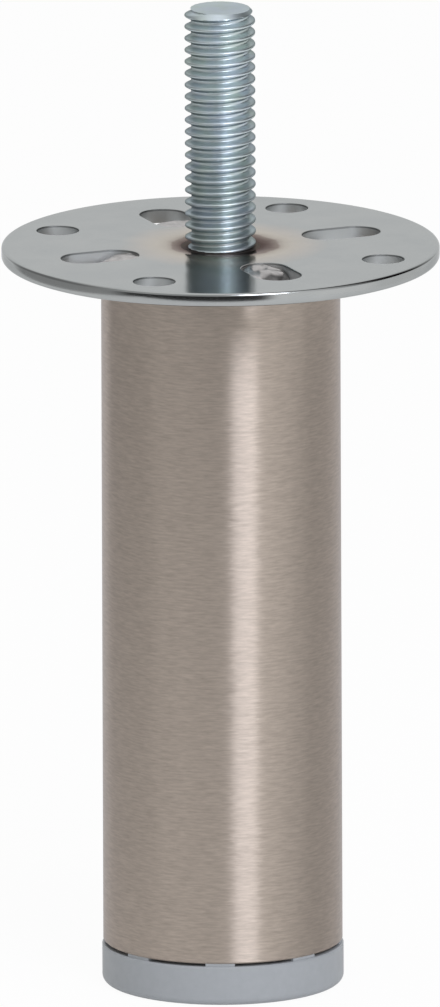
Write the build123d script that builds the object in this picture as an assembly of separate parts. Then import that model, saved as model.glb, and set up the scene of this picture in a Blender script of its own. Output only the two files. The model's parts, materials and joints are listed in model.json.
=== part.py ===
from build123d import *
import os

# A round furniture leg. A brushed steel tube stands under a zinc plated mounting plate. A threaded
# stud rises through the middle of the plate, and a moulded glide is pressed into the tube's foot.
# Millimetres, +Z up, with the origin on the floor under the middle of the glide.

# Overall heights
LEG_HEIGHT = 100.0
STUD_REACH = 32.2

# Leg tube
TUBE_DIAMETER = 31.75
TUBE_WALL = 1.2
TUBE_EDGE_CHAMFER = 0.2

# Mounting plate
PLATE_OVERHANG = 13.2
PLATE_THICKNESS = 1.9
PLATE_RIM_CHAMFER = 0.3
PLATE_RIM_ROLLOVER = 0.6
PUNCHED_EDGE_CHAMFER = 0.2

# Round screw holes on the plate's diagonals
HOLE_COUNT = 4
HOLE_DIAMETER = 5.6
HOLE_FROM_RIM = 5.775

# Radial slots, which straddle the tube's wall
SLOT_COUNT = 4
SLOT_WIDTH = 6.2
SLOT_LENGTH = 10.7
SLOT_INSIDE_TUBE = 3.875

# Plug welds that join the plate to the tube in the inner half of each slot
WELD_DEPTH_BELOW_PLATE = 0.45
WELD_SPREAD = 3.8
WELD_CROWN_SPREAD = 2.4
WELD_INSIDE_TUBE = 2.475

# Threaded stud, a weld bolt with its head under the plate
STUD_DIAMETER = 9.525
STUD_TIP_CHAMFER = 0.8
STUD_SHOULDER_STEP = 0.5
STUD_HOLE_CLEARANCE = 0.05
STUD_HEAD_LAP = 4.75
STUD_HEAD_HEIGHT = 2.2
STUD_HEAD_CHAMFER = 0.5
THREAD_RELIEF_DEPTH = 0.8
THREAD_RELIEF_HEIGHT = 0.45

# Shallow dish that the weld heat left in the plate round the stud
DISH_WIDTH = 2.2
DISH_DEPTH = 0.15

# Moulded glide
GLIDE_OVERHANG = 0.125
GLIDE_FLANGE_HEIGHT = 5.3
GLIDE_FLOOR = 2.0
GLIDE_FOOT_RADIUS = 1.0
GLIDE_TOP_CHAMFER = 0.2
PLUG_LENGTH = 14.0
PLUG_WALL = 1.8
PLUG_CLEARANCE = 0.05
PLUG_LEAD_IN = 0.8
RIB_COUNT = 8
RIB_HEIGHT = 1.0
RIB_WIDTH = 2.0
RIB_START_ANGLE = 20.8
PAD_HEIGHT = 0.4
PAD_WIDTH = 3.9
PAD_SETBACK = 0.2

# Share of a wall that a fillet or chamfer may take up
MOST_OF_WALL = 0.5

# Places that follow from the sizes above
tube_radius = TUBE_DIAMETER / 2
bore_radius = tube_radius - TUBE_WALL
plate_radius = tube_radius + PLATE_OVERHANG
plate_bottom = LEG_HEIGHT - PLATE_THICKNESS
tube_bottom = GLIDE_FLANGE_HEIGHT + PAD_HEIGHT
dish_floor = LEG_HEIGHT - DISH_DEPTH
stud_radius = STUD_DIAMETER / 2
shoulder_radius = stud_radius + STUD_SHOULDER_STEP
stud_hole_radius = shoulder_radius + STUD_HOLE_CLEARANCE

ON_FLOOR = (Align.CENTER, Align.CENTER, Align.MIN)


def post(radius, bottom, top):
    """An upright round post between two heights."""
    return Pos(0, 0, bottom) * Cylinder(radius, top - bottom, align=ON_FLOOR)


def round_edges(solid):
    """The solid's circular edges, lowest first."""
    return solid.edges().filter_by(GeomType.CIRCLE).sort_by(Axis.Z)


def within_wall(edge_size, wall):
    """A fillet or chamfer size that leaves part of a thin wall standing."""
    return min(edge_size, MOST_OF_WALL * wall)


def slot_angles():
    return [360 / SLOT_COUNT * index for index in range(SLOT_COUNT)]


def hole_angles():
    half_step = 180 / HOLE_COUNT
    return [half_step + 360 / HOLE_COUNT * index for index in range(HOLE_COUNT)]


def rib_angles():
    return [RIB_START_ANGLE + 360 / RIB_COUNT * index for index in range(RIB_COUNT)]


def slot_outline():
    """The slot on the +X side, as a flat face with round ends."""
    middle = tube_radius - SLOT_INSIDE_TUBE + SLOT_LENGTH / 2
    return Pos(middle, 0) * SlotOverall(SLOT_LENGTH, SLOT_WIDTH)


def make_tube():
    tube = post(tube_radius, tube_bottom, plate_bottom)
    tube = chamfer(round_edges(tube)[0], within_wall(TUBE_EDGE_CHAMFER, TUBE_WALL))
    return tube - post(bore_radius, tube_bottom, plate_bottom)


def make_plate():
    hole_circle = plate_radius - HOLE_FROM_RIM
    outline = Circle(plate_radius)
    for angle in slot_angles():
        outline -= Rot(0, 0, angle) * slot_outline()
    for angle in hole_angles():
        outline -= Rot(0, 0, angle) * Pos(hole_circle, 0) * Circle(HOLE_DIAMETER / 2)
    plate = Pos(0, 0, plate_bottom) * extrude(outline, PLATE_THICKNESS)

    # The press broke the upper edge of every hole and rolled the lower edge of the rim
    top_face = plate.faces().sort_by(Axis.Z)[-1]
    punched_edges = [edge for wire in top_face.inner_wires() for edge in wire.edges()]
    plate = chamfer(punched_edges, within_wall(PUNCHED_EDGE_CHAMFER, PLATE_THICKNESS))
    upper_rim = plate.faces().sort_by(Axis.Z)[-1].outer_wire().edges()
    plate = chamfer(upper_rim, within_wall(PLATE_RIM_CHAMFER, PLATE_THICKNESS))
    lower_rim = plate.faces().sort_by(Axis.Z)[0].outer_wire().edges()
    plate = chamfer(lower_rim, within_wall(PLATE_RIM_ROLLOVER, PLATE_THICKNESS))

    # The stud's hole opens into the shallow dish
    plate -= post(stud_hole_radius, plate_bottom, LEG_HEIGHT)
    dish = Cone(stud_hole_radius, stud_hole_radius + DISH_WIDTH, DISH_DEPTH, align=ON_FLOOR)
    return plate - Pos(0, 0, dish_floor) * dish


def make_stud():
    head_radius = shoulder_radius + STUD_HEAD_LAP
    head_bottom = plate_bottom - STUD_HEAD_HEIGHT
    relief_radius = stud_radius - THREAD_RELIEF_DEPTH
    thread_start = dish_floor + THREAD_RELIEF_HEIGHT
    tip = LEG_HEIGHT + STUD_REACH
    outline = Polyline(
        (0, head_bottom),
        (head_radius - STUD_HEAD_CHAMFER, head_bottom),
        (head_radius, head_bottom + STUD_HEAD_CHAMFER),
        (head_radius, plate_bottom),
        (shoulder_radius, plate_bottom),
        (shoulder_radius, dish_floor),
        (relief_radius, dish_floor),
        (stud_radius, thread_start),
        (stud_radius, tip - STUD_TIP_CHAMFER),
        (stud_radius - STUD_TIP_CHAMFER, tip),
        (0, tip),
        close=True,
    )
    return revolve(Plane.XZ * make_face(outline), axis=Axis.Z)


def make_welds():
    """A low mound of weld metal in each slot, on the tube's end and against the slot's walls."""
    crown = PLATE_THICKNESS - WELD_DEPTH_BELOW_PLATE
    mound = Cone(WELD_SPREAD, WELD_CROWN_SPREAD, crown, align=ON_FLOOR)
    slot_space = Pos(0, 0, plate_bottom) * extrude(slot_outline(), PLATE_THICKNESS)
    bead = slot_space & (Pos(tube_radius - WELD_INSIDE_TUBE, 0, plate_bottom) * mound)
    return Compound(children=[Rot(0, 0, angle) * bead for angle in slot_angles()])


def radial_bars(width, reach, bottom, top):
    """Bars from the middle outwards, one at each rib."""
    bar = Pos(0, 0, bottom) * Box(reach, width, top - bottom, align=(Align.MIN, Align.CENTER, Align.MIN))
    return [Rot(0, 0, angle) * bar for angle in rib_angles()]


def make_glide():
    flange_radius = tube_radius + GLIDE_OVERHANG
    rib_radius = bore_radius - PLUG_CLEARANCE
    plug_radius = rib_radius - RIB_HEIGHT
    plug_top = GLIDE_FLANGE_HEIGHT + PLUG_LENGTH
    lead_in = within_wall(PLUG_LEAD_IN, PLUG_WALL)

    flange = post(flange_radius, 0, GLIDE_FLANGE_HEIGHT)
    flange = fillet(round_edges(flange)[0], GLIDE_FOOT_RADIUS)
    flange = chamfer(round_edges(flange)[-1], GLIDE_TOP_CHAMFER)
    plug = post(plug_radius, GLIDE_FLANGE_HEIGHT, plug_top)
    plug = chamfer(round_edges(plug)[-1], lead_in)
    glide = flange + plug

    # Ribs grip the tube's bore, and the pad at the foot of each one carries the tube's end
    rib_top = plug_top - lead_in
    rib_ring = post(rib_radius, GLIDE_FLANGE_HEIGHT, rib_top)
    rib_ring = chamfer(round_edges(rib_ring)[-1], within_wall(PLUG_LEAD_IN, RIB_HEIGHT))
    pad_ring = post(tube_radius - PAD_SETBACK, GLIDE_FLANGE_HEIGHT, tube_bottom)
    for bar in radial_bars(RIB_WIDTH, tube_radius, GLIDE_FLANGE_HEIGHT, rib_top):
        glide += rib_ring & bar
    for bar in radial_bars(PAD_WIDTH, tube_radius, GLIDE_FLANGE_HEIGHT, tube_bottom):
        glide += pad_ring & bar
    return glide - post(plug_radius - PLUG_WALL, GLIDE_FLOOR, plug_top)


os.makedirs("parts", exist_ok=True)
export_step(make_tube(), "parts/leg_tube.step")
export_step(make_plate(), "parts/top_plate.step")
export_step(make_stud(), "parts/stud_bolt.step")
export_step(make_welds(), "parts/slot_welds.step")
export_step(make_glide(), "parts/foot_glide.step")
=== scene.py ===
import json
import math
from collections import namedtuple

import bmesh
import bpy
from mathutils import Matrix, Vector, noise


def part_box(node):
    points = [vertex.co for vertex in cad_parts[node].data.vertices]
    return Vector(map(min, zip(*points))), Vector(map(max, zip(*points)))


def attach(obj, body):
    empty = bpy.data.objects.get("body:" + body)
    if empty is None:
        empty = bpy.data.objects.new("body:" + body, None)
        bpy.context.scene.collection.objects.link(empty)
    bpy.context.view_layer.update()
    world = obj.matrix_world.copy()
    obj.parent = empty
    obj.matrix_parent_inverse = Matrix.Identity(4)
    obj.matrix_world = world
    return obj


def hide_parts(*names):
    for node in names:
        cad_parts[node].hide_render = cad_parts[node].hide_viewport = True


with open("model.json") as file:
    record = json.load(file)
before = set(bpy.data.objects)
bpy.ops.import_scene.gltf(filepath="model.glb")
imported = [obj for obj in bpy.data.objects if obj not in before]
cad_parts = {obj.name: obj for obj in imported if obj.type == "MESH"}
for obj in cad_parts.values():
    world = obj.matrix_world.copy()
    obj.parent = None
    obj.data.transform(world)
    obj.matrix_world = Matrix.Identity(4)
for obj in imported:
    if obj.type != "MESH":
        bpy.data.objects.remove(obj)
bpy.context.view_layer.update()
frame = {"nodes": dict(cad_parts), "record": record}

# A round furniture leg: brushed tube, zinc plated plate and stud, plug welds and a plastic glide.
# Metres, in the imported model's frame, with +Z up and the origin on the floor.

MM = 0.001
INCH = 25.4 * MM
BODY = "root"

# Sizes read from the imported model
MOUNTS = {mount["name"]: mount for mount in frame["record"]["mounts"]}
PLATE_LOW, PLATE_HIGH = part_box("top_plate")
STUD_LOW, STUD_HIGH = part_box("stud_bolt")
PLATE_RADIUS = PLATE_HIGH.x
PLATE_TOP = PLATE_HIGH.z
PLATE_BOTTOM = PLATE_LOW.z
HOLE_RADIUS = MOUNTS["plate_holes"]["dims"]["hole_r_mm"] * MM
HOLE_CIRCLE = MOUNTS["plate_holes"]["dims"]["pcd_mm"] * MM / 2
THREAD_RADIUS = MOUNTS["stud"]["dims"]["r_mm"] * MM
HEAD_RADIUS = STUD_HIGH.x
HEAD_BOTTOM = STUD_LOW.z
TIP = STUD_HIGH.z

# Plate, as in the solid, with its pressed edges rounded
RIM_TOP_ROUND = 0.4 * MM
RIM_BOTTOM_ROUND = 0.6 * MM
HOLE_ROUND = 0.15 * MM
SLOT_ROUND = 0.2 * MM
SLOT_COUNT = 4
SLOT_WIDTH = 6.2 * MM
SLOT_INNER = 12.0 * MM
SLOT_OUTER = 22.7 * MM
STUD_HOLE_RADIUS = 5.3125 * MM
DISH_RADIUS = 7.5 * MM
DISH_DEPTH = 0.15 * MM
DISH_FLOOR = PLATE_TOP - DISH_DEPTH

# Mesh of the plate. A narrow strip along each edge keeps the shading of its flat faces even.
EDGE_STRIP = 0.2 * MM
RIM_COLUMNS = 192
HOLE_COLUMNS = 64
ROUND_STEPS = 6
PLATE_SHARP_ANGLE = math.radians(35)

# Stud, as in the solid, with its thread, which starts out of sight below the plate's top
THREAD_PITCH = INCH / 16
THREAD_START = PLATE_TOP - 1.94 * MM
THREAD_DEPTH = 0.85 * MM
THREAD_SOFTNESS = 0.55
CREST_DROP = 0.07 * MM
CREST_SHARE = 0.12
ROOT_SHARE = 0.2
TIP_CHAMFER = 0.8 * MM
TIP_RADIUS = THREAD_RADIUS - TIP_CHAMFER
HEAD_CHAMFER = 0.5 * MM
RELIEF_DEPTH = 0.5 * MM
RELIEF_HEIGHT = 0.05 * MM
RELIEF_RADIUS = THREAD_RADIUS - RELIEF_DEPTH

# Mesh of the stud. Rows that run on past the tip lie on its flat end, this much nearer its middle
# for each step of height.
TIP_CLOSING = 2.0
STUD_COLUMNS = 96
ROWS_PER_PITCH = 24
ROW_STEP = THREAD_PITCH / ROWS_PER_PITCH
MERGE_DISTANCE = 0.001 * MM
STUD_SHARP_ANGLE = math.radians(40)

# Weld beads, from the slot on the +X side round: each one's height over the plate's underside, its
# reach from its centre, the power that squares its shoulder, and the height of its lumps
Bead = namedtuple("Bead", "crown reach shoulder lumps")
BEADS = [
    Bead(crown=0.95 * MM, reach=3.4 * MM, shoulder=4, lumps=0.2 * MM),
    Bead(crown=1.85 * MM, reach=4.8 * MM, shoulder=6, lumps=0.2 * MM),
    Bead(crown=1.8 * MM, reach=4.6 * MM, shoulder=2, lumps=0.2 * MM),
    Bead(crown=1.6 * MM, reach=4.4 * MM, shoulder=4, lumps=0.24 * MM),
]
BEAD_CENTRE = 13.4 * MM
BEAD_TRIM = 0.05 * MM

# Lumps on the beads: their size, how many times finer and how strong the small ones are, and the
# step through the noise that gives each bead lumps of its own
LUMP_SIZE = 1.9 * MM
FINE_LUMPS = 2.3
FINE_LUMP_SHARE = 0.5
LUMP_STEP = 7.3

# Mesh of the beads
BEAD_COLUMNS = 72
BEAD_RINGS = 24
EDGE_SEARCH_STEPS = 24
BEAD_SHARP_ANGLE = math.radians(60)

# Colours that the metals take on at a grazing angle
GRAZING_STEEL = (0.72, 0.72, 0.74, 1.0)
GRAZING_ZINC = (0.72, 0.72, 0.72, 1.0)

# Sideways lean of the tube's surface in a brush stroke
STROKE_LEAN = 0.055

# Heat colours on the plate, darkest next to the stud where they are partly painted shade of the dish, in
# millimetres: its middle beside the stud's axis, the ring that its colours fill, and how far its outline
# wavers
HEAT_AND_SHADE_CENTRE = (0.45, -0.25)
HEAT_AND_SHADE_RANGE = (4.0, 14.0)
HEAT_AND_SHADE_RIPPLE = 0.5

# Walls of the slots and holes, in millimetres: the distances from the axis at which their finish
# comes in past the dish and goes out before the rim, the heights under the plate's top at which it
# comes in, and the depth over which their painted light and the painted shade line along their upper edge
# are drawn
PUNCHED_INNER_RANGE = (8.0, 8.3)
PUNCHED_OUTER_RANGE = (27.6, 27.4)
PUNCHED_HEIGHT_RANGE = (-0.01, -0.07)
PAINTED_WALL_SHADING_DEPTH = 0.6

# Roughness of the plate's faces and of those walls
PLATE_ROUGHNESS = 0.14
PUNCHED_ROUGHNESS = 0.5

# Stud, in millimetres: the heights over the dish's floor between which its heat stain fades, a brown that
# is partly painted shade at its foot, and the depth over which the finish of its flat end comes in
BURN_AND_SHADE_RANGE = (0.01, 0.11)
TIP_FACE_DEPTH = 0.1

# The photograph's viewpoint
CAMERA_AZIMUTH = math.radians(-22.8)
CAMERA_ELEVATION = math.radians(13.0)
CAMERA_ROLL = math.radians(0.2)
CAMERA_DISTANCE = 1.0
FRAME_HEIGHT = 133.55 * MM
FRAME_CENTRE_HEIGHT = 64.76 * MM
FRAME_CENTRE_OFFSET = -0.19 * MM

# Lamp, at an angle to the right of the camera's side and up from the horizon
LAMP_SIDE = math.radians(24.3)
LAMP_ELEVATION = math.radians(37.0)
LAMP_DISTANCE = 1.0
LAMP_WIDTH = 0.38
LAMP_HEIGHT = 0.42
LAMP_RADIANCE = 7.7
LAMP_COLOUR = (0.96, 0.99, 1.09)

# Brightness of the room round the leg, by degrees to the right of the camera's side: its walls,
# and the ground past the edge of the floor
WALL_LEVELS = [
    (-180, 1.0), (-156, 1.0), (-142, 0.6), (-130, 0.25), (-80, 0.25), (-60, 0.48),
    (-42, 0.52), (-16, 0.46), (12, 0.46), (32, 0.95), (52, 0.9), (77, 0.4),
    (96, 0.0), (122, 0.0), (142, 0.45), (158, 1.0), (180, 1.0),
]
GROUND_LEVELS = [
    (-180, 1.0), (-142, 1.0), (-130, 0.4), (-60, 0.4), (-48, 0.03), (22, 0.03),
    (30, 1.0), (80, 1.0), (95, 0.85), (125, 0.85), (145, 1.0), (180, 1.0),
]
# Brightness overhead, by degrees up from the horizon, and its share on each side
CEILING_LEVELS = [(25, 0.0), (45, 0.45), (68, 1.0)]
CEILING_SIDES = [(-180, 1.0), (25, 1.0), (50, 0.4), (95, 0.1), (125, 0.1), (145, 1.0), (180, 1.0)]
HORIZON_BLUR = 0.02

# Floor that the leg stands on: its reach to each side, to the front and to the back, and the share
# of plain white glow in what the camera and reflections see of it
FLOOR_SIDE = 0.33
FLOOR_FRONT = 0.36
FLOOR_BACK = 4.0
GLOW_SEEN = 0.95
GLOW_MIRRORED = 0.6


# Pieces

def new_piece(name, mesh, material, node):
    """Adds a finished mesh to the scene in place of a CAD node."""
    piece = bpy.data.objects.new(name, mesh)
    bpy.context.scene.collection.objects.link(piece)
    mesh.materials.append(material)
    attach(piece, BODY)
    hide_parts(node)


def dress_node(node, material):
    """Gives a CAD node that keeps its own shape its finish."""
    slots = frame["nodes"][node].data.materials
    slots.clear()
    slots.append(material)


# Meshes

def turn_angles(count, offset=0.0):
    """Evenly spaced angles round a full turn, moved on by part of a step."""
    return [2 * math.pi * (index + offset) / count for index in range(count)]


def circle(radius, columns, centre=(0.0, 0.0)):
    """Points round a circle."""
    angles = turn_angles(columns)
    return [(centre[0] + radius * math.cos(a), centre[1] + radius * math.sin(a)) for a in angles]


def ring(mesh, points, height):
    """A level ring of vertices through flat points."""
    return [mesh.verts.new((x, y, height)) for x, y in points]


def bridge(mesh, first, second):
    """Quads between two rings of the same count."""
    count = len(first)
    for index in range(count):
        after = (index + 1) % count
        mesh.faces.new((first[index], first[after], second[after], second[index]))


def ring_edges(mesh, points):
    """The edges along a ring that has faces on one side."""
    return [mesh.edges.get((one, two)) for one, two in zip(points, points[1:] + points[:1])]


def finish_mesh(mesh, name, sharp_angle):
    """Turns a bmesh into mesh data with smooth faces and hard edges past an angle."""
    bmesh.ops.recalc_face_normals(mesh, faces=mesh.faces)
    data = bpy.data.meshes.new(name)
    mesh.to_mesh(data)
    mesh.free()
    data.shade_smooth()
    data.set_sharp_from_angle(angle=sharp_angle)
    return data


def slot_outline(growth, turn):
    """Points round a slot with round ends, grown by an amount and turned about the plate's middle."""
    radius = SLOT_WIDTH / 2 + growth
    points = []
    for angle in turn_angles(HOLE_COLUMNS, 0.5):
        end = SLOT_OUTER - SLOT_WIDTH / 2 if math.cos(angle) > 0 else SLOT_INNER + SLOT_WIDTH / 2
        x = end + radius * math.cos(angle)
        y = radius * math.sin(angle)
        points.append((x * math.cos(turn) - y * math.sin(turn), x * math.sin(turn) + y * math.cos(turn)))
    return points


def quarter_round():
    """Shares of a quarter round from its level end to its upright end: outwards and upwards."""
    angles = [math.pi / 2 * step / ROUND_STEPS for step in range(ROUND_STEPS + 1)]
    return [(math.sin(angle), math.cos(angle)) for angle in angles]


def rim_steps():
    """The rim's section from the top face to the underside: radius and height."""
    upper = PLATE_RADIUS - RIM_TOP_ROUND
    lower = PLATE_RADIUS - RIM_BOTTOM_ROUND
    steps = [(upper - EDGE_STRIP, PLATE_TOP)]
    for out, up in quarter_round():
        steps.append((upper + RIM_TOP_ROUND * out, PLATE_TOP - RIM_TOP_ROUND * (1 - up)))
    for out, up in reversed(quarter_round()):
        steps.append((lower + RIM_BOTTOM_ROUND * out, PLATE_BOTTOM + RIM_BOTTOM_ROUND * (1 - up)))
    return steps + [(lower - EDGE_STRIP, PLATE_BOTTOM)]


def punched_steps(edge_round):
    """A punched edge's section from the top face to the underside: growth of the hole and height."""
    steps = [(edge_round + EDGE_STRIP, PLATE_TOP)]
    for out, up in quarter_round():
        steps.append((edge_round * (1 - out), PLATE_TOP - edge_round * (1 - up)))
    return steps + [(0.0, PLATE_BOTTOM), (EDGE_STRIP, PLATE_BOTTOM)]


def dish_steps():
    """The dish and the stud's hole below it: radius and height."""
    steps = [(DISH_RADIUS + EDGE_STRIP, PLATE_TOP)]
    for step in range(ROUND_STEPS + 1):
        share = step / ROUND_STEPS
        depth = DISH_DEPTH * (1 - math.cos(math.pi * share)) / 2
        steps.append((DISH_RADIUS + (STUD_HOLE_RADIUS - DISH_RADIUS) * share, PLATE_TOP - depth))
    return steps + [(STUD_HOLE_RADIUS, PLATE_BOTTOM), (STUD_HOLE_RADIUS + EDGE_STRIP, PLATE_BOTTOM)]


def plate_walls():
    """Each wall of the plate as rings from its top face to its underside: flat points and height."""
    walls = [
        [(circle(radius, RIM_COLUMNS), height) for radius, height in rim_steps()],
        [(circle(radius, RIM_COLUMNS), height) for radius, height in dish_steps()],
    ]
    for turn in turn_angles(SLOT_COUNT):
        between = turn + math.pi / SLOT_COUNT
        hole_centre = (HOLE_CIRCLE * math.cos(between), HOLE_CIRCLE * math.sin(between))
        walls.append([
            (slot_outline(growth, turn), height)
            for growth, height in punched_steps(SLOT_ROUND)
        ])
        walls.append([
            (circle(HOLE_RADIUS + growth, HOLE_COLUMNS, hole_centre), height)
            for growth, height in punched_steps(HOLE_ROUND)
        ])
    return walls


def plate_mesh():
    """The mounting plate: its walls first, and then its two flat faces filled in between them."""
    mesh = bmesh.new()
    top_edges = []
    bottom_edges = []
    for wall in plate_walls():
        rings = [ring(mesh, points, height) for points, height in wall]
        for first, second in zip(rings, rings[1:]):
            bridge(mesh, first, second)
        top_edges += ring_edges(mesh, rings[0])
        bottom_edges += ring_edges(mesh, rings[-1])
    for edges in (top_edges, bottom_edges):
        bmesh.ops.triangle_fill(mesh, edges=edges, use_beauty=True, normal=(0.0, 0.0, 1.0))
    return finish_mesh(mesh, "plate_pressed", PLATE_SHARP_ANGLE)


def thread_radius(row):
    """Radius of the thread at a row that follows the helix: a V with its crest and root rolled soft."""
    phase = (row % ROWS_PER_PITCH) / ROWS_PER_PITCH
    flank = (abs(2 * phase - 1) - CREST_SHARE) / (1 - CREST_SHARE - ROOT_SHARE)
    straight = min(max(flank, 0.0), 1.0)
    rolled = (1 - math.cos(math.pi * straight)) / 2
    depth = THREAD_DEPTH * (straight + THREAD_SOFTNESS * (rolled - straight))
    return THREAD_RADIUS - CREST_DROP - depth


def thread_point(row, column):
    """A point of the thread, cut off by the relief below and by the chamfered tip above."""
    turn_share = column / STUD_COLUMNS
    angle = 2 * math.pi * turn_share
    height = THREAD_START + row * ROW_STEP + THREAD_PITCH * turn_share
    if height <= DISH_FLOOR:
        radius = RELIEF_RADIUS
    elif height > TIP:
        radius = max(TIP_RADIUS - TIP_CLOSING * (height - TIP), 0.0)
    else:
        relief = RELIEF_RADIUS + RELIEF_DEPTH / RELIEF_HEIGHT * (height - DISH_FLOOR)
        chamfer = TIP_RADIUS + (TIP - height)
        radius = min(thread_radius(row), relief, chamfer)
    height = min(max(height, DISH_FLOOR), TIP)
    return Vector((radius * math.cos(angle), radius * math.sin(angle), height))


def add_thread(mesh):
    """A right-hand helix of rows, each joined at the end of its turn to the row one pitch on."""
    rise = TIP - THREAD_START + THREAD_RADIUS / TIP_CLOSING
    face_rows = int(rise / ROW_STEP) + 1
    rows = []
    for row in range(face_rows + ROWS_PER_PITCH + 1):
        rows.append([mesh.verts.new(thread_point(row, column)) for column in range(STUD_COLUMNS)])
    for row in range(face_rows):
        for column in range(STUD_COLUMNS):
            after = (column + 1) % STUD_COLUMNS
            after_row = row if after else row + ROWS_PER_PITCH
            mesh.faces.new((
                rows[row][column],
                rows[after_row][after],
                rows[after_row + 1][after],
                rows[row + 1][column],
            ))


def add_stud_foot(mesh):
    """The head under the plate and the shoulder in it, up to the foot of the thread."""
    outline = [
        (HEAD_RADIUS - HEAD_CHAMFER, HEAD_BOTTOM),
        (HEAD_RADIUS, HEAD_BOTTOM + HEAD_CHAMFER),
        (HEAD_RADIUS, PLATE_BOTTOM),
        (STUD_HOLE_RADIUS, PLATE_BOTTOM),
        (STUD_HOLE_RADIUS, DISH_FLOOR),
        (RELIEF_RADIUS, DISH_FLOOR),
    ]
    rings = [ring(mesh, circle(radius, STUD_COLUMNS), height) for radius, height in outline]
    mesh.faces.new(list(reversed(rings[0])))
    for lower, upper in zip(rings, rings[1:]):
        bridge(mesh, lower, upper)


def stud_mesh():
    """Thread and foot as one closed mesh, with the points that fall together merged."""
    mesh = bmesh.new()
    add_thread(mesh)
    add_stud_foot(mesh)
    bmesh.ops.remove_doubles(mesh, verts=mesh.verts, dist=MERGE_DISTANCE)
    loose = [vert for vert in mesh.verts if not vert.link_faces]
    bmesh.ops.delete(mesh, geom=loose, context="VERTS")
    return finish_mesh(mesh, "stud_threaded", STUD_SHARP_ANGLE)


def inside_slot(x, y):
    """Whether a flat point lies in the slot on the +X side."""
    half = SLOT_WIDTH / 2
    along = min(max(x, SLOT_INNER + half), SLOT_OUTER - half)
    return math.hypot(x - along, y) <= half


def bead_edge(angle, reach):
    """How far a bead spreads from its centre, up to its reach or the slot's wall."""
    near = 0.0
    far = reach
    for _ in range(EDGE_SEARCH_STEPS):
        middle = (near + far) / 2
        if inside_slot(BEAD_CENTRE + middle * math.cos(angle), middle * math.sin(angle)):
            near = middle
        else:
            far = middle
    return near


def bead_height(x, y, slot):
    """Height of a slot's low mound, with lumps, kept under the plate's top."""
    bead = BEADS[slot]
    spread = math.hypot(x - BEAD_CENTRE, y) / bead.reach
    mound = bead.crown * (1 - spread ** bead.shoulder)
    place = Vector((x, y, 0.0)) / LUMP_SIZE + Vector((0.0, 0.0, LUMP_STEP * slot))
    lumps = noise.noise(place) + FINE_LUMP_SHARE * noise.noise(FINE_LUMPS * place)
    height = PLATE_BOTTOM + mound + bead.lumps * lumps
    return min(max(height, PLATE_BOTTOM + BEAD_TRIM), PLATE_TOP - BEAD_TRIM)


def add_bead(mesh, slot):
    """One lumpy mound, closed by a skirt and a flat underside."""
    angles = turn_angles(BEAD_COLUMNS)
    edges = [bead_edge(angle, BEADS[slot].reach) for angle in angles]
    turn = Matrix.Rotation(2 * math.pi * slot / SLOT_COUNT, 4, "Z")
    rings = []
    for step in range(1, BEAD_RINGS + 1):
        points = []
        for angle, edge in zip(angles, edges):
            reach = edge * step / BEAD_RINGS
            x = BEAD_CENTRE + reach * math.cos(angle)
            y = reach * math.sin(angle)
            points.append(mesh.verts.new(turn @ Vector((x, y, bead_height(x, y, slot)))))
        rings.append(points)
    skirt = [mesh.verts.new((vert.co.x, vert.co.y, PLATE_BOTTOM)) for vert in rings[-1]]
    top = mesh.verts.new(turn @ Vector((BEAD_CENTRE, 0.0, bead_height(BEAD_CENTRE, 0.0, slot))))
    for column in range(BEAD_COLUMNS):
        mesh.faces.new((top, rings[0][column], rings[0][(column + 1) % BEAD_COLUMNS]))
    for first, second in zip(rings, rings[1:] + [skirt]):
        bridge(mesh, first, second)
    mesh.faces.new(skirt)


def welds_mesh():
    """The beads in all the slots as one mesh."""
    mesh = bmesh.new()
    for slot in range(SLOT_COUNT):
        add_bead(mesh, slot)
    return finish_mesh(mesh, "weld_beads", BEAD_SHARP_ANGLE)


# Materials

def grey(level):
    """An even grey as a colour."""
    return (level, level, level)


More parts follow.
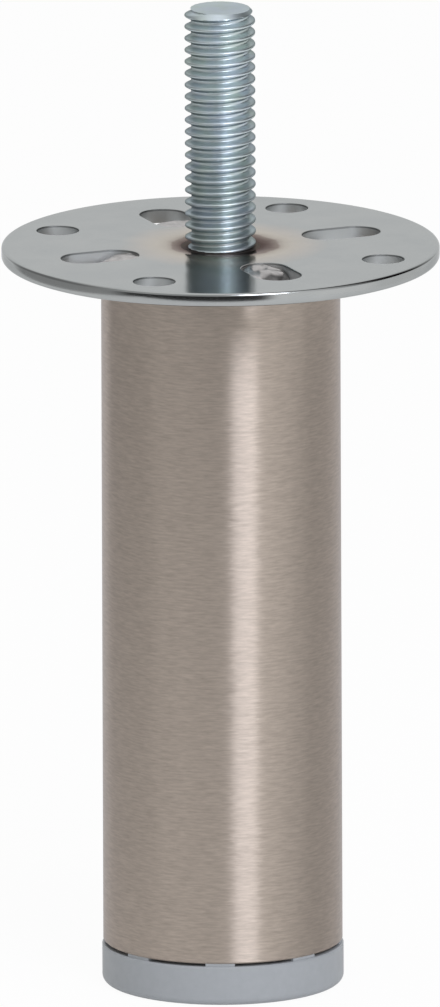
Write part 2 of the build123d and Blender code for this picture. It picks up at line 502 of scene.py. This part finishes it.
class Graph:
    """A node tree with short calls for adding and joining nodes."""

    def __init__(self, tree):
        self.tree = tree

    def add(self, kind, **settings):
        """A new node with some of its settings."""
        node = self.tree.nodes.new(kind)
        for key, value in settings.items():
            setattr(node, key, value)
        return node

    def join(self, source, target):
        """Joins a node's output to another one's input."""
        self.tree.links.new(source, target)

    def fill(self, socket, value):
        """Sets a socket to a plain value, or joins another node's output to it."""
        if isinstance(value, bpy.types.NodeSocket):
            self.join(value, socket)
        else:
            socket.default_value = value

    def calculate(self, operation, first, second):
        """Arithmetic on two sockets or numbers."""
        node = self.add("ShaderNodeMath", operation=operation)
        self.fill(node.inputs[0], first)
        self.fill(node.inputs[1], second)
        return node.outputs["Value"]

    def mix(self, blend, factor, first, second):
        """Mixes two colours."""
        node = self.add("ShaderNodeMixRGB", blend_type=blend)
        self.fill(node.inputs["Fac"], factor)
        self.fill(node.inputs["Color1"], first)
        self.fill(node.inputs["Color2"], second)
        return node.outputs["Color"]

    def mix_shaders(self, factor, first, second):
        """Mixes two shaders."""
        node = self.add("ShaderNodeMixShader")
        self.join(factor, node.inputs["Fac"])
        self.join(first, node.inputs[1])
        self.join(second, node.inputs[2])
        return node.outputs["Shader"]

    def ramp(self, factor, stops):
        """A colour ramp from (position, colour) stops in rising order."""
        node = self.add("ShaderNodeValToRGB")
        elements = node.color_ramp.elements
        elements.remove(elements[-1])
        elements[0].position = stops[0][0]
        for position, _ in stops[1:]:
            elements.new(position)
        for element, (_, colour) in zip(elements, stops):
            element.color = (*colour, 1.0)
        self.join(factor, node.inputs["Fac"])
        return node.outputs["Color"]

    def span(self, value, low, high, new_low=0.0, new_high=1.0):
        """Moves a value from one range to another and stops it at the ends."""
        node = self.add("ShaderNodeMapRange")
        self.join(value, node.inputs["Value"])
        node.inputs["From Min"].default_value = low
        node.inputs["From Max"].default_value = high
        node.inputs["To Min"].default_value = new_low
        node.inputs["To Max"].default_value = new_high
        return node.outputs["Result"]

    def place(self, scale, shift=(0.0, 0.0, 0.0)):
        """The object's own coordinates in metres, scaled along each axis and then shifted."""
        source = self.add("ShaderNodeTexCoord")
        stretch = self.add("ShaderNodeMapping")
        stretch.inputs["Scale"].default_value = scale
        stretch.inputs["Location"].default_value = shift
        self.join(source.outputs["Object"], stretch.inputs["Vector"])
        return stretch.outputs["Vector"]

    def noise(self, scale, detail=3.0, roughness=0.6):
        """Noise with so many waves to the metre along each axis."""
        node = self.add("ShaderNodeTexNoise")
        node.inputs["Scale"].default_value = 1.0
        node.inputs["Detail"].default_value = detail
        node.inputs["Roughness"].default_value = roughness
        self.join(self.place(scale), node.inputs["Vector"])
        return node.outputs["Fac"]

    def axis_distance(self, centre=(0.0, 0.0)):
        """Distance in millimetres from the leg's axis, or from an upright line beside it."""
        node = self.add("ShaderNodeVectorMath", operation="LENGTH")
        self.join(self.place((1 / MM, 1 / MM, 0.0), (-centre[0], -centre[1], 0.0)), node.inputs[0])
        return node.outputs["Value"]

    def height_over(self, level):
        """Height over a level, in millimetres."""
        node = self.add("ShaderNodeSeparateXYZ")
        self.join(self.place((0.0, 0.0, 1 / MM), (0.0, 0.0, -level / MM)), node.inputs["Vector"])
        return node.outputs["Z"]


class Finish(Graph):
    """A material built on the Principled surface."""

    def __init__(self, name, **values):
        self.material = bpy.data.materials.new(name)
        self.material.use_nodes = True
        super().__init__(self.material.node_tree)
        self.surface = self.tree.nodes["Principled BSDF"]
        for key, value in values.items():
            self.surface.inputs[key.replace("_", " ")].default_value = value

    def feed(self, name, source):
        """Joins a node's output to one of the surface's own inputs."""
        self.join(source, self.surface.inputs[name])

    def sway(self, direction, amount):
        """Leans the surface's normal along a direction by a varying amount."""
        surface = self.add("ShaderNodeNewGeometry")
        lean = self.add("ShaderNodeVectorMath", operation="SCALE")
        total = self.add("ShaderNodeVectorMath", operation="ADD")
        unit = self.add("ShaderNodeVectorMath", operation="NORMALIZE")
        self.join(direction, lean.inputs[0])
        self.join(amount, lean.inputs["Scale"])
        self.join(surface.outputs["Normal"], total.inputs[0])
        self.join(lean.outputs["Vector"], total.inputs[1])
        self.join(total.outputs["Vector"], unit.inputs[0])
        self.feed("Normal", unit.outputs["Vector"])


def brushed_steel():
    """Warm grey steel, brushed round the tube, so that its shine spreads up and down."""
    finish = Finish(
        "tube_brushed_steel",
        Metallic=1.0,
        Roughness=0.36,
        Anisotropic=1.0,
        Anisotropic_Rotation=0.25,
        Specular_Tint=GRAZING_STEEL,
    )
    round_tube = finish.add("ShaderNodeTangent", direction_type="RADIAL", axis="Z").outputs["Tangent"]
    finish.feed("Tangent", round_tube)
    grain = finish.noise((550.0, 550.0, 4200.0))
    finish.feed("Base Color", finish.ramp(grain, [
        (0.3, (0.438, 0.376, 0.326)),
        (0.7, (0.566, 0.486, 0.422)),
    ]))
    strokes = finish.noise((450.0, 450.0, 4000.0))
    finish.sway(round_tube, finish.span(strokes, 0.0, 1.0, -STROKE_LEAN, STROKE_LEAN))
    return finish.material


def zinc_plate():
    """Bright zinc with heat colours round the stud, partly painted shade where they are darkest next to
    it, and dull walls in the slots and holes with painted light on them and a painted shade line along
    their upper edge.
    """
    finish = Finish("plate_zinc", Metallic=1.0)
    cloud = finish.noise((150.0, 150.0, 150.0))
    zinc = finish.ramp(cloud, [(0.3, (0.41, 0.42, 0.42)), (0.7, (0.45, 0.455, 0.45))])

    # Heat colours with an uneven outline: dark at the stud, where they are partly painted shade of the
    # dish round it, then straw, then clear
    waves = finish.noise((260.0, 260.0, 260.0))
    ripple = finish.span(waves, 0.2, 0.8, -HEAT_AND_SHADE_RIPPLE, HEAT_AND_SHADE_RIPPLE)
    reach = finish.calculate("ADD", finish.axis_distance(HEAT_AND_SHADE_CENTRE), ripple)
    heat_and_shade_tint = finish.ramp(finish.span(reach, *HEAT_AND_SHADE_RANGE), [
        (0.1, (0.46, 0.41, 0.40)),
        (0.19, (0.55, 0.49, 0.475)),
        (0.25, (0.66, 0.595, 0.57)),
        (0.3, (0.74, 0.675, 0.64)),
        (0.335, (0.94, 0.88, 0.83)),
        (0.4, (1.04, 0.99, 0.93)),
        (0.5, (1.085, 1.04, 0.985)),
        (0.7, (1.06, 1.03, 1.0)),
        (1.0, (0.985, 1.0, 1.003)),
    ])
    zinc_with_heat_and_shade = finish.mix("MULTIPLY", 1.0, zinc, heat_and_shade_tint)
    finish.feed("Specular Tint", finish.mix("MULTIPLY", 1.0, heat_and_shade_tint, GRAZING_ZINC))

    # Walls of the slots and holes: rougher, with painted light on them and a painted shade line along
    # their upper edge
    outside_dish = finish.span(finish.axis_distance(), *PUNCHED_INNER_RANGE)
    within_rim = finish.span(finish.axis_distance(), *PUNCHED_OUTER_RANGE)
    near_holes = finish.calculate("MULTIPLY", outside_dish, within_rim)
    below_top = finish.span(finish.height_over(PLATE_TOP), *PUNCHED_HEIGHT_RANGE)
    punched = finish.calculate("MULTIPLY", below_top, near_holes)
    # Painted light lifts the walls' colour by 1.2; a painted shade line at 0.45 runs along their rounded
    # upper edge
    painted_wall_light_and_edge_shade = finish.ramp(finish.span(finish.height_over(PLATE_TOP), -PAINTED_WALL_SHADING_DEPTH, 0.0), [
        (0.5, grey(1.2)),
        (0.72, grey(0.45)),
        (1.0, grey(0.45)),
    ])
    finish.feed("Base Color", finish.mix("MULTIPLY", punched, zinc_with_heat_and_shade, painted_wall_light_and_edge_shade))
    finish.feed("Roughness", finish.span(punched, 0.0, 1.0, PLATE_ROUGHNESS, PUNCHED_ROUGHNESS))
    return finish.material


def zinc_stud():
    """Bluish bright zinc with faint streaks, browned at the shoulder by heat and partly by painted shade.
    """
    finish = Finish("stud_zinc", Metallic=1.0, Roughness=0.39)
    cloud = finish.noise((300.0, 300.0, 300.0))
    zinc = finish.ramp(cloud, [(0.35, (0.675, 0.77, 0.75)), (0.65, (0.705, 0.79, 0.86))])
    streaks = finish.ramp(finish.noise((150.0, 150.0, 3500.0)), [(0.3, grey(0.85)), (0.7, grey(1.0))])
    plated = finish.mix("MULTIPLY", 1.0, zinc, streaks)
    # Brown at the shoulder and the foot of the thread: a heat stain that is partly painted shade in the
    # dish round the stud
    burn_and_painted_shade = finish.ramp(finish.span(finish.height_over(DISH_FLOOR), *BURN_AND_SHADE_RANGE), [
        (0.0, (0.42, 0.33, 0.30)),
        (1.0, grey(1.0)),
    ])
    finish.feed("Base Color", finish.mix("MULTIPLY", 1.0, plated, burn_and_painted_shade))

    # Light that grazes the thread dies away more than on the flat end
    end_face = finish.span(finish.height_over(TIP), -TIP_FACE_DEPTH, 0.0)
    finish.feed("Specular Tint", finish.ramp(end_face, [(0.5, grey(0.15)), (0.9, grey(0.4))]))
    return finish.material


def weld_metal():
    """Plated weld metal, a blotchy grey that is faintly warm."""
    finish = Finish("weld_metal", Metallic=1.0, Roughness=0.28, Specular_Tint=GRAZING_ZINC)
    cloud = finish.noise((900.0, 900.0, 900.0))
    finish.feed("Base Color", finish.ramp(cloud, [
        (0.35, (0.39, 0.38, 0.375)),
        (0.65, (0.55, 0.53, 0.525)),
    ]))
    return finish.material


def glide_plastic():
    """Light grey moulded plastic with a satin skin."""
    finish = Finish("glide_plastic", Roughness=0.45)
    speckle = finish.noise((900.0, 900.0, 900.0))
    finish.feed("Base Color", finish.ramp(speckle, [
        (0.3, (0.383, 0.403, 0.42)),
        (0.7, (0.407, 0.427, 0.445)),
    ]))
    return finish.material


def floor_white():
    """White that glows to the camera and in reflections, takes a shadow, and is clear from below."""
    finish = Finish("floor_white", Base_Color=(0.9, 0.9, 0.9, 1.0), Roughness=0.9, Specular_IOR_Level=0.0)
    path = finish.add("ShaderNodeLightPath")
    mirrored = finish.calculate(
        "MAXIMUM",
        path.outputs["Is Glossy Ray"],
        path.outputs["Is Transmission Ray"],
    )
    glow_share = finish.calculate(
        "MAXIMUM",
        finish.calculate("MULTIPLY", path.outputs["Is Camera Ray"], GLOW_SEEN),
        finish.calculate("MULTIPLY", mirrored, GLOW_MIRRORED),
    )
    glow = finish.add("ShaderNodeEmission").outputs["Emission"]
    upper_side = finish.mix_shaders(glow_share, finish.surface.outputs["BSDF"], glow)
    from_below = finish.add("ShaderNodeNewGeometry").outputs["Backfacing"]
    clear = finish.add("ShaderNodeBsdfTransparent").outputs["BSDF"]
    one_sided = finish.mix_shaders(from_below, upper_side, clear)
    finish.join(one_sided, finish.tree.nodes["Material Output"].inputs["Surface"])
    return finish.material


# Stage

def direction(azimuth, elevation):
    """The direction at an angle round from the leg's front and an angle up from the horizon."""
    flat = math.cos(elevation)
    return Vector((math.sin(azimuth) * flat, -math.cos(azimuth) * flat, math.sin(elevation)))


def view_right():
    """The level direction to the camera's right."""
    return Vector((math.cos(CAMERA_AZIMUTH), math.sin(CAMERA_AZIMUTH), 0.0))


def add_camera():
    """A parallel camera at the photograph's angle."""
    right = view_right()
    back = direction(CAMERA_AZIMUTH, CAMERA_ELEVATION)
    data = bpy.data.cameras.new("camera")
    data.type = "ORTHO"
    data.sensor_fit = "VERTICAL"
    data.ortho_scale = FRAME_HEIGHT
    camera = bpy.data.objects.new("camera", data)
    aim = Vector((0.0, 0.0, FRAME_CENTRE_HEIGHT)) + FRAME_CENTRE_OFFSET * right
    turn = Matrix((right, back.cross(right), back)).transposed()
    turn = turn @ Matrix.Rotation(-CAMERA_ROLL, 3, "Z")
    camera.matrix_world = Matrix.Translation(aim + CAMERA_DISTANCE * back) @ turn.to_4x4()
    bpy.context.scene.collection.objects.link(camera)
    bpy.context.scene.camera = camera


def add_lamp():
    """A soft rectangular lamp that faces the leg."""
    outward = direction(CAMERA_AZIMUTH + LAMP_SIDE, LAMP_ELEVATION)
    data = bpy.data.lights.new("softbox", "AREA")
    data.shape = "RECTANGLE"
    data.size = LAMP_WIDTH
    data.size_y = LAMP_HEIGHT
    data.energy = LAMP_RADIANCE * math.pi * LAMP_WIDTH * LAMP_HEIGHT
    data.color = LAMP_COLOUR
    lamp = bpy.data.objects.new("softbox", data)
    lamp.location = Vector((0.0, 0.0, FRAME_CENTRE_HEIGHT)) + LAMP_DISTANCE * outward
    lamp.rotation_euler = outward.to_track_quat("Z", "Y").to_euler()
    bpy.context.scene.collection.objects.link(lamp)


def add_world():
    """A room with a white sweep behind the leg, darker walls at the sides and a pale ceiling."""
    world = bpy.data.worlds.new("studio")
    bpy.context.scene.world = world
    world.use_nodes = True
    graph = Graph(world.node_tree)

    # Direction of a ray, turned so that the camera's side is in front
    source = graph.add("ShaderNodeTexCoord")
    turn = graph.add("ShaderNodeMapping", vector_type="VECTOR")
    turn.inputs["Rotation"].default_value = (0.0, 0.0, -CAMERA_AZIMUTH)
    parts = graph.add("ShaderNodeSeparateXYZ")
    graph.join(source.outputs["Generated"], turn.inputs["Vector"])
    graph.join(turn.outputs["Vector"], parts.inputs["Vector"])
    towards_camera = graph.calculate("MULTIPLY", parts.outputs["Y"], -1.0)
    angle = graph.calculate("ARCTAN2", parts.outputs["X"], towards_camera)
    turn_share = graph.span(angle, -math.pi, math.pi)

    # Walls over the ground, with the ceiling where it is brighter, and plain white to the camera
    walls, ground, sides = [
        graph.ramp(turn_share, [((degrees + 180) / 360, grey(level)) for degrees, level in levels])
        for levels in (WALL_LEVELS, GROUND_LEVELS, CEILING_SIDES)
    ]
    rises = [(math.sin(math.radians(degrees)), grey(level)) for degrees, level in CEILING_LEVELS]
    ceiling = graph.mix("MULTIPLY", 1.0, graph.ramp(parts.outputs["Z"], rises), sides)
    above = graph.span(parts.outputs["Z"], -HORIZON_BLUR, HORIZON_BLUR)
    studio = graph.mix("LIGHTEN", 1.0, graph.mix("MIX", above, ground, walls), ceiling)
    path = graph.add("ShaderNodeLightPath")
    seen = graph.mix("MIX", path.outputs["Is Camera Ray"], studio, (1.0, 1.0, 1.0, 1.0))
    graph.join(seen, graph.tree.nodes["Background"].inputs["Color"])


def add_floor():
    """The white floor that the leg stands on, which ends in front of it and at its sides."""
    right = view_right()
    ahead = -direction(CAMERA_AZIMUTH, 0.0)
    corners = [
        -FLOOR_SIDE * right - FLOOR_FRONT * ahead,
        FLOOR_SIDE * right - FLOOR_FRONT * ahead,
        FLOOR_SIDE * right + FLOOR_BACK * ahead,
        -FLOOR_SIDE * right + FLOOR_BACK * ahead,
    ]
    mesh = bpy.data.meshes.new("floor")
    mesh.from_pydata([tuple(corner) for corner in corners], [], [(0, 1, 2, 3)])
    mesh.materials.append(floor_white())
    floor = bpy.data.objects.new("floor", mesh)
    bpy.context.scene.collection.objects.link(floor)


dress_node("leg_tube", brushed_steel())
dress_node("foot_glide", glide_plastic())
new_piece("plate_pressed", plate_mesh(), zinc_plate(), "top_plate")
new_piece("stud_threaded", stud_mesh(), zinc_stud(), "stud_bolt")
new_piece("weld_beads", welds_mesh(), weld_metal(), "slot_welds")

add_world()
add_floor()
add_lamp()
add_camera()
bpy.context.scene.view_settings.view_transform = "Standard"
